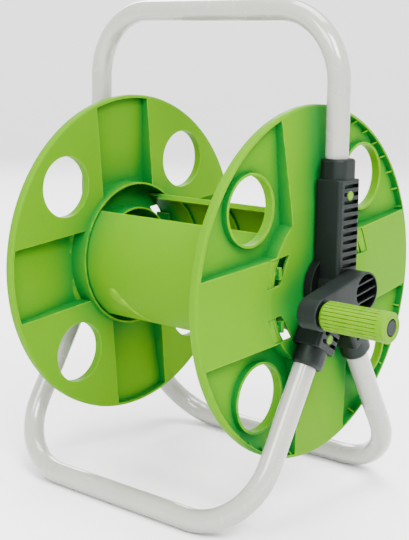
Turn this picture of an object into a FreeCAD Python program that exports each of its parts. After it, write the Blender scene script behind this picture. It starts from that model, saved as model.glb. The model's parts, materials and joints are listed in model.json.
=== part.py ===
import FreeCAD, Part
import math
import os

import Sketcher
from FreeCAD import Placement, Rotation, Vector

# Garden hose reel on a free-standing tube frame.
# X runs along the drum's axis, with the crank on the +X side. -Y is the front. +Z is up.
# The origin lies on the floor, midway between the two feet and midway between the side tubes.

doc = FreeCAD.newDocument("hose_reel")
sheet = doc.addObject("Spreadsheet::Sheet", "Dimensions")

DIMENSIONS = [
    # frame
    ("tube_radius", 10.0, "outside radius of every frame tube"),
    ("tube_wall", 1.2, "wall of every frame tube"),
    ("side_x", 141.5, "side tubes from the middle of the frame"),
    ("axis_height", 202.5, "drum axis above the floor"),
    ("handle_rise", 234.0, "handle bar above the drum axis"),
    ("bend_radius", 62.0, "centre line of every tube bend"),
    ("leg_length", 223.8, "drum axis to the foot bars, along a leg"),
    ("leg_angle", 30.7, "legs from the vertical"),
    ("tube_start", 32.0, "tube ends from the drum axis"),
    # brackets
    ("bracket_depth", 26.6, "bracket sockets along X"),
    ("bracket_width", 29.0, "bracket sockets across the tube"),
    ("bracket_inner", 130.0, "inner side of the brackets from the middle"),
    ("upper_socket", 93.0, "upper socket from the drum axis"),
    ("upper_collar", 110.0, "upper collar from the drum axis"),
    ("lower_socket", 58.0, "lower sockets from the drum axis"),
    ("lower_collar", 74.0, "lower collars from the drum axis"),
    ("collar_inset", 0.9, "collars inside the sockets' faces"),
    ("boss_radius", 27.0, "round bearing boss of the brackets"),
    ("boss_depth", 8.0, "bearing boss along X"),
    ("bearing_wall", 4.0, "wall round the bracket's bearing"),
    ("end_round", 1.0, "rounding of the sockets' ends"),
    ("upper_round", 2.5, "rounding of the upper collar's end"),
    ("lower_round", 3.2, "rounding of the lower collars' ends"),
    ("collar_back", 0.2, "collars inside the sockets' inner face"),
    ("socket_clearance", 0.1, "tube in its socket, on the radius"),
    ("slot_height", 3.4, "core slots in the sockets' outer faces, height"),
    ("slot_pitch", 6.75, "core slots, pitch"),
    ("slot_depth", 4.2, "core slots, depth"),
    ("slot_margin", 5.2, "core slots, round end from the socket's edge"),
    ("slot_edge", 1.5, "wall between the core slots and the socket's other edge"),
    ("upper_first_slot", 20.0, "first core slot of the upper socket from the drum axis"),
    ("lower_first_slot", 23.4, "first core slot of the lower sockets from the drum axis"),
    ("upper_screw", 79.5, "upper screw from the drum axis"),
    ("lower_screw", 47.0, "lower screws from the drum axis"),
    ("corner_radius", 3.0, "long edges of the sockets"),
    ("upper_corner", 9.0, "long edges of the upper collar"),
    ("lower_corner", 12.0, "long edges of the lower collars"),
    ("screw_radius", 2.4, "tube screw shanks"),
    ("screw_head", 3.9, "tube screw heads and their caps, radius"),
    ("screw_reach", 16.0, "tube screws, tip from the socket's outer face"),
    ("cap_proud", 0.4, "caps past the socket's outer face"),
    # flanges
    ("flange_radius", 154.5, "outside of the flanges"),
    ("right_flange_x", 112.7, "winding side of the right flange"),
    ("left_flange_x", 97.3, "winding side of the left flange, towards -X"),
    ("rim_depth", 8.75, "flange rim along X"),
    ("rim_wall", 3.0, "flange rim on the radius"),
    ("skin", 2.2, "flange walls"),
    ("arm_half_width", 36.5, "half width of the four raised arms"),
    ("hub_rise", 16.0, "hub face from the winding side"),
    ("hub_radius", 69.5, "outside of the drum seat"),
    ("seat_wall", 1.6, "drum seat wall"),
    ("seat_lip", 5.0, "drum seat past the winding side"),
    ("core_ring_radius", 45.2, "inner ring of the hub"),
    ("core_ring_wall", 1.4, "inner ring wall"),
    ("hole_radius", 28.5, "round holes between the arms"),
    ("hole_circle", 113.5, "round holes from the drum axis"),
    ("arm_phase", 6.0, "arms turned from upright at rest"),
    ("window_low", 13.0, "clip windows, near side from the arm's middle"),
    ("window_high", 36.0, "clip windows, far side from the arm's middle"),
    ("window_low_in", 56.5, "clip windows, near side, inner end along the arm"),
    ("window_low_mid", 66.2, "clip windows, near side, end of the open part"),
    ("window_low_out", 74.8, "clip windows, near side, outer end of the recess"),
    ("window_high_in", 43.0, "clip windows, far side, inner end along the arm"),
    ("window_high_mid", 57.2, "clip windows, far side, end of the open part"),
    ("window_high_out", 66.5, "clip windows, far side, outer end of the recess"),
    ("window_recess", 1.2, "depth of the recess round the clip windows"),
    ("rim_rib", 4.0, "small ribs inside the rim, on the radius"),
    ("rim_rib_wall", 1.4, "small ribs inside the rim, thickness"),
    ("sleeve_radius", 18.0, "hub sleeve, outside"),
    ("sleeve_lip", 8.0, "hub sleeve past the winding side"),
    # drum panels
    ("panel_radius", 66.2, "outside of the drum panels"),
    ("panel_wall", 2.5, "drum panel wall"),
    ("panel_span", 100.0, "angle that one drum panel covers"),
    ("panel_lip", 5.5, "inward edge of the drum panels"),
    ("panel_gap", 0.05, "panel ends from the hub faces"),
    ("rib_wall", 1.8, "cross ribs of the drum panels"),
    ("clip_wall", 3.0, "end clips of the drum panels"),
    ("clip_inner", 55.0, "end clips, inner face from the drum axis"),
    ("clip_low", 18.0, "end clips, near side from the arm's middle"),
    ("clip_high", 28.0, "end clips, far side from the arm's middle"),
    ("clip_reach", 3.1, "end clips past the panel's ends"),
    # crank
    ("crank_reach", 61.5, "grip axis from the drum axis"),
    ("crank_angle", 9.5, "crank below the horizontal at rest"),
    ("crank_inner", 157.6, "inner side of the crank arm"),
    ("crank_outer", 176.2, "outer side of the crank arm"),
    ("crank_hub_radius", 17.0, "crank hub"),
    ("crank_end_radius", 13.4, "crank end"),
    ("crank_round", 1.1, "rounding of the crank arm's edges"),
    ("journal_radius", 10.0, "crank and inlet journals"),
    ("running_gap", 0.05, "journals in their bushes, on the radius"),
    ("bush_radius", 13.0, "bushes, outside"),
    ("hex_flats", 15.0, "crank drive hexagon, across flats"),
    ("hub_pocket", 13.0, "open space in the crank hub, depth"),
    ("hub_wall", 1.6, "crank hub wall round the open space"),
    ("crank_screw_radius", 2.5, "crank screw shank"),
    ("thrust_radius", 17.0, "thrust washer and spacer ring, outside"),
    ("fixed_gap", 0.02, "pieces that are pressed or laid together"),
    ("moving_gap", 0.3, "turning pieces from fixed ones, end on"),
    # grip
    ("grip_radius", 12.4, "grip, outside"),
    ("grip_length", 62.0, "grip"),
    ("grip_gap", 0.6, "grip from the crank arm"),
    ("pin_radius", 4.5, "grip pin"),
    ("pin_head_radius", 6.8, "grip pin head"),
    ("pin_depth", 12.0, "grip pin inside the crank arm"),
    ("head_recess", 3.2, "recess for the pin head in the grip's end"),
    ("grip_groove", 0.8, "lengthwise grip grooves, width"),
    # water way
    ("water_bore", 4.6, "water way, radius"),
    ("nipple_radius", 8.6, "hose connector spigot"),
    ("inlet_length", 32.0, "inlet connector past the left bracket"),
    ("swivel_radius", 7.5, "spindle inside the elbow"),
    ("swivel_length", 26.0, "spindle past the left sleeve"),
    ("seal_groove", 5.8, "floor of the swivel seal grooves, radius"),
    ("elbow_radius", 13.0, "elbow housing, outside"),
    ("elbow_socket", 9.1, "elbow socket round the spindle, radius"),
]


def fill_sheet():
    for row, (alias, value, note) in enumerate(DIMENSIONS, start=1):
        sheet.set("A%d" % row, note)
        sheet.set("B%d" % row, str(value))
        sheet.setAlias("B%d" % row, alias)
    doc.recompute()


class Size:
    """A number together with the sheet expression that gives it."""

    def __init__(self, value, text):
        self.value = value
        self.text = text

    def __add__(self, other):
        other = size(other)
        return Size(self.value + other.value, "(%s + %s)" % (self.text, other.text))

    def __sub__(self, other):
        other = size(other)
        return Size(self.value - other.value, "(%s - %s)" % (self.text, other.text))

    def __mul__(self, other):
        other = size(other)
        return Size(self.value * other.value, "(%s * %s)" % (self.text, other.text))

    def __neg__(self):
        return Size(-self.value, "(-1 * %s)" % self.text)

    def __radd__(self, other):
        return size(other) + self

    def __rsub__(self, other):
        return size(other) - self

    def __rmul__(self, other):
        return size(other) * self


def size(number):
    if isinstance(number, Size):
        return number
    return Size(float(number), "%.6g" % number)


def cell(alias):
    return Size(float(sheet.get(alias)), "Dimensions." + alias)


def cosine(angle):
    return Size(math.cos(math.radians(angle.value)), "cos(%s * 1 deg)" % angle.text)


def sine(angle):
    return Size(math.sin(math.radians(angle.value)), "sin(%s * 1 deg)" % angle.text)


fill_sheet()

TUBE = cell("tube_radius")
SIDE = cell("side_x")
AXIS = cell("axis_height")
BORE_GAP = cell("running_gap")
JOURNAL = cell("journal_radius")
BUSH = cell("bush_radius")
INNER = cell("bracket_inner")
DEPTH = cell("bracket_depth")
OUTER = INNER + DEPTH
SKIN = cell("skin")
HUB = cell("hub_radius")
RISE = cell("hub_rise")
RIM = cell("rim_depth")
FLANGE = cell("flange_radius")
CRANK_IN = cell("crank_inner")
CRANK_OUT = cell("crank_outer")
REACH = cell("crank_reach")


# ---- helpers ---------------------------------------------------------------------------

TOUCH = 1e-4


def new_body(label, height=AXIS):
    """A body whose local origin lies on the drum axis."""
    body = doc.addObject("PartDesign::Body", label)
    body.Label = label
    body.setExpression("Placement.Base.z", height.text)
    return body


def origin_plane(body, role):
    return [item for item in body.Origin.OriginFeatures if item.Role == role][0]


def new_sketch(body, name, role="XZ_Plane", offset=None):
    sketch = body.newObject("Sketcher::SketchObject", body.Label + "_" + name)
    sketch.AttachmentSupport = [(origin_plane(body, role), "")]
    sketch.MapMode = "FlatFace"
    if offset is not None:
        sketch.AttachmentOffset = offset
    return sketch


def pin_point(sketch, geometry, end, x, y):
    """Hold a point of the sketch at a place given by the sheet."""
    for kind, axis, place in (("DistanceX", -2, x), ("DistanceY", -1, y)):
        if abs(place.value) < 1e-9:
            sketch.addConstraint(Sketcher.Constraint("PointOnObject", geometry, end, axis))
            continue
        number = sketch.addConstraint(
            Sketcher.Constraint(kind, -1, 1, geometry, end, place.value))
        sketch.setExpression("Constraints[%d]" % number, place.text)


def polygon(sketch, points):
    """A closed outline with every corner held by the sheet."""
    places = [(size(x), size(y)) for x, y in points]
    first = sketch.GeometryCount
    count = len(places)
    for index in range(count):
        here = places[index]
        there = places[(index + 1) % count]
        sketch.addGeometry(Part.LineSegment(Vector(here[0].value, here[1].value, 0),
                                            Vector(there[0].value, there[1].value, 0)), False)
    for index in range(count):
        sketch.addConstraint(Sketcher.Constraint(
            "Coincident", first + index, 2, first + (index + 1) % count, 1))
    for index, (x, y) in enumerate(places):
        pin_point(sketch, first + index, 1, x, y)


def circle(sketch, x, y, radius):
    x, y, radius = size(x), size(y), size(radius)
    number = sketch.addGeometry(
        Part.Circle(Vector(x.value, y.value, 0), Vector(0, 0, 1), radius.value), False)
    pin_point(sketch, number, 3, x, y)
    held = sketch.addConstraint(Sketcher.Constraint("Radius", number, radius.value))
    sketch.setExpression("Constraints[%d]" % held, radius.text)


def core_slot(sketch, closed, opening, middle, half):
    """A slot with one round end and one square end, lying along the sketch's x."""
    closed, opening, middle, half = size(closed), size(opening), size(middle), size(half)
    way = 1 if opening.value > closed.value else -1
    centre = closed + half * way
    first = sketch.GeometryCount
    ring = Part.Circle(Vector(centre.value, middle.value, 0), Vector(0, 0, 1), half.value)
    start = math.pi / 2 if way > 0 else -math.pi / 2
    sketch.addGeometry(Part.ArcOfCircle(ring, start, start + math.pi), False)
    sides = (middle + half * way, middle - half * way)
    corners = [Vector(opening.value, side.value, 0) for side in sides]
    sketch.addGeometry(Part.LineSegment(sketch.getPoint(first, 2), corners[1]), False)
    sketch.addGeometry(Part.LineSegment(corners[1], corners[0]), False)
    sketch.addGeometry(Part.LineSegment(corners[0], sketch.getPoint(first, 1)), False)
    sketch.addConstraint(Sketcher.Constraint("Tangent", first, 2, first + 1, 1))
    sketch.addConstraint(Sketcher.Constraint("Coincident", first + 1, 2, first + 2, 1))
    sketch.addConstraint(Sketcher.Constraint("Coincident", first + 2, 2, first + 3, 1))
    sketch.addConstraint(Sketcher.Constraint("Tangent", first + 3, 2, first, 1))
    pin_point(sketch, first, 3, centre, middle)
    pin_point(sketch, first + 2, 1, opening, sides[1])
    pin_point(sketch, first + 2, 2, opening, sides[0])
    held = sketch.addConstraint(Sketcher.Constraint("Radius", first, half.value))
    sketch.setExpression("Constraints[%d]" % held, half.text)


def rounded_rectangle(sketch, low, high, radius):
    """A rectangle with round corners: each arc's centre and radius are held by the sheet."""
    x0, y0 = size(low[0]), size(low[1])
    x1, y1 = size(high[0]), size(high[1])
    radius = size(radius)
    first = sketch.GeometryCount
    corners = [(x1 - radius, y1 - radius, 0), (x0 + radius, y1 - radius, 90),
               (x0 + radius, y0 + radius, 180), (x1 - radius, y0 + radius, 270)]
    for x, y, start in corners:
        arc = Part.Circle(Vector(x.value, y.value, 0), Vector(0, 0, 1), radius.value)
        sketch.addGeometry(Part.ArcOfCircle(
            arc, math.radians(start), math.radians(start + 90)), False)
    for index in range(4):
        a = sketch.getPoint(first + index, 2)
        b = sketch.getPoint(first + (index + 1) % 4, 1)
        sketch.addGeometry(Part.LineSegment(a, b), False)
    for index in range(4):
        line = first + 4 + index
        sketch.addConstraint(Sketcher.Constraint("Tangent", first + index, 2, line, 1))
        sketch.addConstraint(Sketcher.Constraint(
            "Tangent", line, 2, first + (index + 1) % 4, 1))
    for index, (x, y, start) in enumerate(corners):
        pin_point(sketch, first + index, 3, x, y)
    held = sketch.addConstraint(Sketcher.Constraint("Radius", first, radius.value))
    sketch.setExpression("Constraints[%d]" % held, radius.text)


def revolve(body, name, outlines, kind="Revolution"):
    """Turn outlines given as (along the axis, radius) about the body's X axis."""
    sketch = new_sketch(body, name + "_profile")
    for points in outlines:
        polygon(sketch, points)
    feature = body.newObject("PartDesign::" + kind, body.Label + "_" + name)
    feature.Profile = sketch
    feature.ReferenceAxis = (sketch, ["H_Axis"])
    feature.Angle = 360
    doc.recompute()
    return feature


def extrude(body, name, sketch, length, kind="Pad", midplane=False, reverse=False):
    feature = body.newObject("PartDesign::" + kind, body.Label + "_" + name)
    feature.Profile = sketch
    length = size(length)
    feature.Length = length.value
    feature.setExpression("Length", length.text)
    feature.Midplane = midplane
    feature.Reversed = reverse
    doc.recompute()
    return feature


def round_edges(body, name, feature, normal, distance, radius):
    """Round the edges that lie in the plane at a distance along a normal."""
    chosen = []
    for number, edge in enumerate(feature.Shape.Edges, start=1):
        points = [vertex.Point for vertex in edge.Vertexes] + [edge.CenterOfMass]
        if all(abs(point.dot(normal) - distance) < TOUCH for point in points):
            chosen.append("Edge%d" % number)
    fillet = body.newObject("PartDesign::Fillet", body.Label + "_" + name)
    fillet.Base = (feature, chosen)
    radius = size(radius)
    fillet.Radius = radius.value
    fillet.setExpression("Radius", radius.text)
    doc.recompute()
    return fillet


def polar(body, feature, count, name):
    pattern = body.newObject("PartDesign::PolarPattern", body.Label + "_" + name)
    pattern.Originals = [feature]
    axis = [item for item in body.Origin.OriginFeatures if item.Role == "X_Axis"][0]
    pattern.Axis = (axis, [""])
    pattern.Angle = 360
    pattern.Occurrences = count
    body.Tip = pattern
    doc.recompute()
    return pattern


def turned(label, outline):
    """A round piece on the drum axis, outline given as (X, radius)."""
    body = new_body(label)
    revolve(body, "turning", [outline])
    return body


def solid_group(label, members):
    """Identical separate solids that share one node."""
    group = doc.addObject("Part::Compound", label)
    group.Label = label
    group.Links = members
    return group


# ---- frame tubes -----------------------------------------------------------------------

def bent_tube(label, length, tilt, screw):
    """A U of tube: down (or up) from one side socket, across, and back to the other."""
    body = new_body(label)
    start = cell("tube_start")
    bend = cell("bend_radius")
    path = new_sketch(body, "centre_line")
    corner = length - bend
    inner = SIDE - bend
    lines = [((-SIDE, start), (-SIDE, corner)), ((-inner, length), (inner, length)),
             ((SIDE, corner), (SIDE, start))]
    for (xa, ya), (xb, yb) in lines:
        path.addGeometry(Part.LineSegment(Vector(xa.value, ya.value, 0),
                                          Vector(xb.value, yb.value, 0)), False)
    for centre, low, high in ((-inner, 90, 180), (inner, 0, 90)):
        ring = Part.Circle(Vector(centre.value, corner.value, 0), Vector(0, 0, 1), bend.value)
        path.addGeometry(Part.ArcOfCircle(ring, math.radians(low), math.radians(high)), False)
    joins = [(0, 2, 3, 2), (3, 1, 1, 1), (1, 2, 4, 2), (4, 1, 2, 1)]
    for a, a_end, b, b_end in joins:
        path.addConstraint(Sketcher.Constraint("Tangent", a, a_end, b, b_end))
    pin_point(path, 0, 1, -SIDE, start)
    pin_point(path, 3, 3, -inner, corner)
    pin_point(path, 4, 3, inner, corner)
    pin_point(path, 2, 2, SIDE, start)
    section = new_sketch(body, "section", "XY_Plane",
                         Placement(Vector(0, 0, start.value), Rotation()))
    section.setExpression("AttachmentOffset.Base.z", start.text)
    circle(section, -SIDE, 0, TUBE)
    circle(section, -SIDE, 0, TUBE - cell("tube_wall"))
    doc.recompute()
    pipe = body.newObject("PartDesign::AdditivePipe", label + "_tube")
    pipe.Profile = section
    pipe.Spine = (path, ["Edge%d" % number for number in range(1, 6)])
    pipe.Transition = "Transformed"
    doc.recompute()
    for name, place, back in (("right", OUTER, False), ("left", -OUTER, True)):
        hole = new_sketch(body, name + "_screw_hole", "YZ_Plane",
                          Placement(Vector(0, 0, place.value), Rotation()))
        hole.setExpression("AttachmentOffset.Base.z", place.text)
        circle(hole, 0, screw, cell("screw_radius") + SCREW_GAP)
        extrude(body, name + "_screw_cut", hole, cell("screw_reach"), "Pocket", reverse=back)
    body.Placement = Placement(Vector(0, 0, AXIS.value), Rotation(Vector(1, 0, 0), tilt.value))
    body.setExpression("Placement.Base.z", AXIS.text)
    return body


SCREW_GAP = 0.1
LEG_TILT = cell("leg_angle")
handle_tube = bent_tube("handle_tube", cell("handle_rise"), size(0), cell("upper_screw"))
front_leg = bent_tube("front_leg_tube", cell("leg_length"), 180 - LEG_TILT, cell("lower_screw"))
rear_leg = bent_tube("rear_leg_tube", cell("leg_length"), 180 + LEG_TILT, cell("lower_screw"))


# ---- brackets --------------------------------------------------------------------------

SOCKETS = [
    # name, turn about X, core slots, side of the slots' square ends
    ("upper", 0.0, 11, 1),
    ("front", 180.0 - LEG_TILT.value, 5, -1),
    ("rear", 180.0 + LEG_TILT.value, 5, -1),
]
SCREW = cell("screw_radius")
SCREW_HEAD = cell("screw_head")
SCREW_REACH = cell("screw_reach")
SLOT_DEPTH = cell("slot_depth")
SEAT_DEPTH = 4.4
SEAT_GAP = 0.3
SEAT_WALL = 1.1
BORE_START = 1.0
PAST = 10.0
BORE_LENGTH = 120.0


def level(name):
    """Whether a socket's sizes are the upper or the lower ones."""
    return "upper" if name == "upper" else "lower"


def across(turn, distance):
    """Offset of a sketch that stands across a socket, at a distance from the drum axis."""
    rotation = Rotation(Vector(1, 0, 0), turn)
    return Placement(rotation.multVec(Vector(0, 0, distance)), rotation)


def bracket(label, side):
    """Moulded three-way bracket. It is built for the +X side and turned round for -X."""
    body = new_body(label)
    half = cell("bracket_width") * 0.5
    inset = cell("collar_inset")
    boss_sketch = new_sketch(body, "boss_section", "YZ_Plane")
    circle(boss_sketch, 0, 0, cell("boss_radius"))
    boss_sketch.AttachmentOffset = Placement(Vector(0, 0, INNER.value), Rotation())
    boss_sketch.setExpression("AttachmentOffset.Base.z", INNER.text)
    extrude(body, "boss", boss_sketch, cell("boss_depth"))
    hub = new_sketch(body, "bearing_hub", "YZ_Plane",
                     Placement(Vector(0, 0, INNER.value), Rotation()))
    hub.setExpression("AttachmentOffset.Base.z", INNER.text)
    circle(hub, 0, 0, BUSH + cell("bearing_wall"))
    extrude(body, "bearing_hub_pad", hub, DEPTH)
    for name, turn, slots, square_side in SOCKETS:
        kind = level(name)
        upward = Rotation(Vector(1, 0, 0), turn).multVec(Vector(0, 0, 1))
        socket = cell(kind + "_socket")
        collar = cell(kind + "_collar")
        section = new_sketch(body, name + "_section", "XY_Plane", across(turn, 0))
        rounded_rectangle(section, (INNER, -half), (OUTER, half), cell("corner_radius"))
        pad = extrude(body, name + "_socket", section, socket)
        round_edges(body, name + "_socket_end", pad, upward, socket.value, cell("end_round"))
        ring = new_sketch(body, name + "_collar_section", "XY_Plane", across(turn, 0))
        rounded_rectangle(ring, (INNER + cell("collar_back"), inset - half),
                          (OUTER - inset, half - inset), cell(kind + "_corner"))
        pad = extrude(body, name + "_collar", ring, collar)
        round_edges(body, name + "_collar_end", pad, upward, collar.value, cell(kind + "_round"))
    for name, turn, slots, square_side in SOCKETS:
        mouth = new_sketch(body, name + "_mouth", "XY_Plane",
                           across(turn, cell("tube_start").value - BORE_START))
        circle(mouth, SIDE, 0, TUBE + cell("socket_clearance"))
        extrude(body, name + "_bore", mouth, BORE_LENGTH, "Pocket", reverse=True)
        slot_cuts(body, name, turn, slots, square_side)
        screw_hole(body, name, turn, cell(level(name) + "_screw"))
    bearing = new_sketch(body, "bearing_section", "YZ_Plane")
    circle(bearing, 0, 0, BUSH)
    extrude(body, "bearing", bearing, 2 * (OUTER + PAST), "Pocket", midplane=True)
    if side < 0:
        body.Placement = Placement(Vector(0, 0, AXIS.value), Rotation(Vector(0, 0, 1), 180))
        body.setExpression("Placement.Base.z", AXIS.text)
    return body


def slot_cuts(body, name, turn, count, square_side):
    """The row of core slots in a socket's outer face."""
    half = cell("bracket_width") * 0.5
    height = cell("slot_height") * 0.5
    offset = Placement(Vector(0, 0, OUTER.value), Rotation(Vector(0, 0, 1), turn))
    sketch = new_sketch(body, name + "_slots", "YZ_Plane", offset)
    for index in range(count):
        middle = cell(level(name) + "_first_slot") + cell("slot_pitch") * index
        near = (cell("slot_margin") - half) * square_side
        far = (half - cell("slot_edge")) * square_side
        core_slot(sketch, near, far, middle, height)
    extrude(body, name + "_slot_cut", sketch, SLOT_DEPTH, "Pocket")


def screw_hole(body, name, turn, distance):
    """Pilot hole and countersunk seat of one tube screw, on the outer face."""
    offset = Placement(Vector(0, 0, OUTER.value), Rotation(Vector(0, 0, 1), turn))
    pad = new_sketch(body, name + "_screw_pad", "YZ_Plane", offset)
    circle(pad, 0, distance, SCREW_HEAD + SEAT_WALL)
    extrude(body, name + "_screw_boss", pad, SLOT_DEPTH + 0.5, reverse=True)
    seat = new_sketch(body, name + "_screw_seat", "YZ_Plane", offset)
    circle(seat, 0, distance, SCREW_HEAD + SEAT_GAP)
    extrude(body, name + "_seat_cut", seat, SEAT_DEPTH, "Pocket")
    hole = new_sketch(body, name + "_screw_hole", "YZ_Plane", offset)
    circle(hole, 0, distance, SCREW + SCREW_GAP)
    extrude(body, name + "_hole_cut", hole, SCREW_REACH, "Pocket")


right_bracket = bracket("right_bracket", 1)
left_bracket = bracket("left_bracket", -1)


# ---- screws and their caps -------------------------------------------------------------

CAP_FOOT = 2.1


def screw_and_cap(name, side, turn, distance):
    """One tube screw and the coloured cap over it, both along X."""
    rotation = Rotation(Vector(1, 0, 0), turn)
    foot = rotation.multVec(Vector(0, 0, distance.value))
    lift = Vector(0, 0, AXIS.value)
    proud = cell("cap_proud")
    under_head = -SEAT_DEPTH + BORE_GAP
    under_cap = under_head + CAP_FOOT
    screw = [(-SCREW_REACH, 0), (-SCREW_REACH, SCREW), (under_head, SCREW),
             (under_head, SCREW_HEAD), (under_cap, SCREW_HEAD), (under_cap, 0)]
    cap = [(under_cap + BORE_GAP, 0), (under_cap + BORE_GAP, SCREW_HEAD), (0, SCREW_HEAD),
           (proud, SCREW_HEAD - proud), (proud, 0)]
    pieces = []
    for part_name, profile in (("screw", screw), ("cap", cap)):
        body = doc.addObject("PartDesign::Body", name + "_" + part_name)
        revolve(body, "turning", [profile])
        turn_round = Rotation(Vector(0, 0, 1), 0 if side > 0 else 180)
        body.Placement = Placement(lift + foot + Vector(side * OUTER.value, 0, 0), turn_round)
        pieces.append(body)
    return pieces


screws = []
caps = []
for side, side_name in ((1, "right"), (-1, "left")):
    for name, turn, slots, square_side in SOCKETS:
        pair = screw_and_cap(side_name + "_" + name, side, turn, cell(level(name) + "_screw"))
        screws.append(pair[0])
        caps.append(pair[1])
frame_screws = solid_group("frame_screws", screws)
screw_caps = solid_group("screw_caps", caps)


# ---- drum flanges ----------------------------------------------------------------------

ARM = cell("arm_half_width")
SEAT = HUB - cell("seat_wall")
PHASE = cell("arm_phase")


OVERLAP = 1.0
HUB_OVERLAP = 12.0
MERGE = 0.5
RIB_DROP = 1.6
RIM_RIBS = 48


def flange(label, side):
    """Moulded disc: thin between the arms, with four raised hollow arms, a rim and a hub."""
    body = new_body(label)
    rim_inside = FLANGE - cell("rim_wall")
    disc_edge = FLANGE - OVERLAP
    revolve(body, "disc", [[(0, SEAT), (0, disc_edge), (SKIN, disc_edge), (SKIN, SEAT)]])
    arm_sketch = new_sketch(body, "arm_outline")
    polygon(arm_sketch, [(SKIN * 0.5, SEAT - HUB_OVERLAP), (RISE, SEAT - HUB_OVERLAP), (RISE, HUB),
                         (RIM, rim_inside), (RIM, FLANGE + OVERLAP), (SKIN * 0.5, FLANGE + OVERLAP)])
    arm = extrude(body, "arm", arm_sketch, ARM * 2, midplane=True)
    polar(body, arm, 4, "arms")
    rib_sketch = new_sketch(body, "rim_rib_outline")
    rib_top = RIM - RIB_DROP
    polygon(rib_sketch, [(SKIN * 0.5, rim_inside - cell("rim_rib")), (SKIN, rim_inside - cell("rim_rib")),
                         (rib_top, rim_inside - MERGE), (rib_top, rim_inside + MERGE),
                         (SKIN * 0.5, rim_inside + MERGE)])
    rib = extrude(body, "rim_rib", rib_sketch, cell("rim_rib_wall"), midplane=True)
    polar(body, rib, RIM_RIBS, "rim_ribs")
    hollow_sketch = new_sketch(body, "hollow_outline")
    polygon(hollow_sketch, [(-1, SEAT - HUB_OVERLAP - 1), (RISE - SKIN, SEAT - HUB_OVERLAP - 1),
                            (RISE - SKIN, HUB), (RIM - SKIN, rim_inside), (-1, rim_inside)])
    hollow = extrude(body, "hollow", hollow_sketch, (ARM - SKIN) * 2, "Pocket", midplane=True)
    polar(body, hollow, 4, "hollows")
    revolve(body, "hub_space", [[(-1, 0), (RISE + 1, 0), (RISE + 1, SEAT), (-1, SEAT)]], "Groove")
    hub_core(body, rim_inside, side)
    for index in range(4):
        hole_and_collar(body, index)
    windows(body)
    trim_rim(body)
    place_flange(body, side)
    return body


RING_LIP = 6.0


def hub_core(body, rim_inside, side):
    """Drum seat, hub face, inner ring, sleeve and rim, turned in one feature."""
    ring = cell("core_ring_radius")
    ring_wall = cell("core_ring_wall")
    sleeve = cell("sleeve_radius")
    face = RISE - SKIN
    revolve(body, "hub", [
        [(-cell("seat_lip"), SEAT), (-cell("seat_lip"), HUB), (RISE, HUB), (RISE, BUSH),
         (-cell("sleeve_lip"), BUSH), (-cell("sleeve_lip"), sleeve), (face, sleeve),
         (face, ring - ring_wall), (-RING_LIP, ring - ring_wall), (-RING_LIP, ring), (face, ring),
         (face, SEAT)],
        [(0, rim_inside), (0, FLANGE), (RIM, FLANGE), (RIM, rim_inside)]])
    if side > 0:
        drive_core(body)


THROUGH = 80.0


def drive_core(body):
    """On the crank side the sleeve is closed around a hexagon that the crank drives."""
    core = new_sketch(body, "core_section", "YZ_Plane")
    circle(core, 0, 0, BUSH + 0.5)
    core.AttachmentOffset = Placement(Vector(0, 0, -cell("sleeve_lip").value), Rotation())
    extrude(body, "core", core, cell("sleeve_lip") + RISE)
    flats = new_sketch(body, "drive_section", "YZ_Plane")
    hexagon(flats, cell("hex_flats") * 0.5 + 0.05)
    extrude(body, "drive", flats, THROUGH, "Pocket", midplane=True)


def hexagon(sketch, half_flats):
    """A regular hexagon about the sketch's origin."""
    reach = half_flats * (2 / math.sqrt(3))
    corners = []
    for index in range(6):
        angle = math.radians(60 * index)
        corners.append((reach * math.cos(angle), reach * math.sin(angle)))
    polygon(sketch, corners)


COLLAR_DROP = 0.6


def hole_and_collar(body, index):
    """A round hole between two arms, with a raised collar on the outer side."""
    turn = Rotation(Vector(0, 0, 1), 45 + 90 * index)
    ring = new_sketch(body, "collar_%d" % index, "YZ_Plane", Placement(Vector(0, 0, 0), turn))
    circle(ring, 0, cell("hole_circle"), cell("hole_radius") + SKIN)
    extrude(body, "collar_pad_%d" % index, ring, RIM - COLLAR_DROP)
    hole = new_sketch(body, "hole_%d" % index, "YZ_Plane", Placement(Vector(0, 0, 0), turn))
    circle(hole, 0, cell("hole_circle"), cell("hole_radius"))
    extrude(body, "hole_cut_%d" % index, hole, THROUGH, "Pocket", midplane=True)


def windows(body):
    """Clip windows in the hub face: open inside the drum seat, a shallow recess outside it."""
    low = cell("window_low")
    high = cell("window_high")
    depths = (("mid", SKIN + PAST), ("out", cell("window_recess") + 1))
    for index, (along, side) in enumerate(((1, 1), (-1, 1), (-1, -1), (1, -1))):
        for end, depth in depths:
            sketch = new_sketch(body, "window_%s_%d" % (end, index), "YZ_Plane",
                                Placement(Vector(0, 0, RISE.value + 1), Rotation()))
            sketch.setExpression("AttachmentOffset.Base.z", (RISE + 1).text)
            polygon(sketch, [(cell("window_low_in") * along, low * side),
                             (cell("window_low_" + end) * along, low * side),
                             (cell("window_high_" + end) * along, high * side),
                             (cell("window_high_in") * along, high * side)])
            extrude(body, "window_%s_cut_%d" % (end, index), sketch, depth, "Pocket")


EDGE = 2.0
EDGE_MID = 0.6


def trim_rim(body):
    """Cut everything outside the rim away, with its two outer edges rounded off."""
    revolve(body, "rim_trim", [[
        (-PAST, FLANGE - EDGE), (0, FLANGE - EDGE), (EDGE_MID, FLANGE - EDGE_MID), (EDGE, FLANGE),
        (RIM - EDGE, FLANGE), (RIM - EDGE_MID, FLANGE - EDGE_MID), (RIM, FLANGE - EDGE),
        (RIM + PAST, FLANGE - EDGE), (RIM + PAST, FLANGE + PAST), (-PAST, FLANGE + PAST)]],
            "Groove")


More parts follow.
